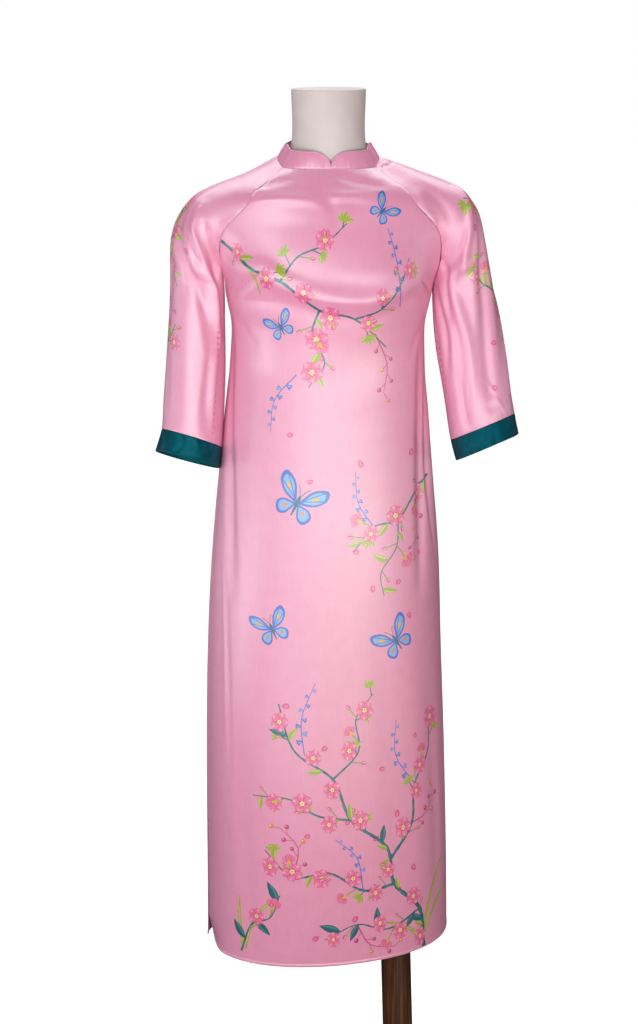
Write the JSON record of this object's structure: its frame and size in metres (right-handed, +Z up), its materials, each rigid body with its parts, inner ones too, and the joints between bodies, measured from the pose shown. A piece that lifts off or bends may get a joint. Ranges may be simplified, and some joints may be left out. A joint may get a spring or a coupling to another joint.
{
  "type": "ao dai tunic on a limbless dress form",
  "caption": "Pink satin ao dai tunic, mid-length raglan sleeves with teal cuffs, stand collar and side slits, worn by a limbless dress form on a wooden pole stand",
  "frame": {"origin": "centre of the underside of the round stand base, on the floor", "axes": "+Z up along the pole and the body, front of the tunic towards -Y, +X to the viewer's right when facing the front"},
  "size_m": [0.5273, 0.39, 1.559],
  "materials": {
    "pink_satin": "printed satin",
    "teal_satin": "satin",
    "form_paint": "matte cream",
    "pole_wood": "dark stained, satin varnish",
    "black_steel": "black powder coat"
  },
  "bodies": {
    "root": {"front_panel": "pink_satin", "back_panel": "pink_satin", "sleeve_left": "pink_satin", "sleeve_right": "pink_satin", "collar": "pink_satin", "cuff_left": "teal_satin", "cuff_right": "teal_satin", "dress_form": "form_paint", "pole": "pole_wood", "pole_flange": "black_steel", "pole_foot": "black_steel", "stand_base": "black_steel"}
  },
  "joints": []
}
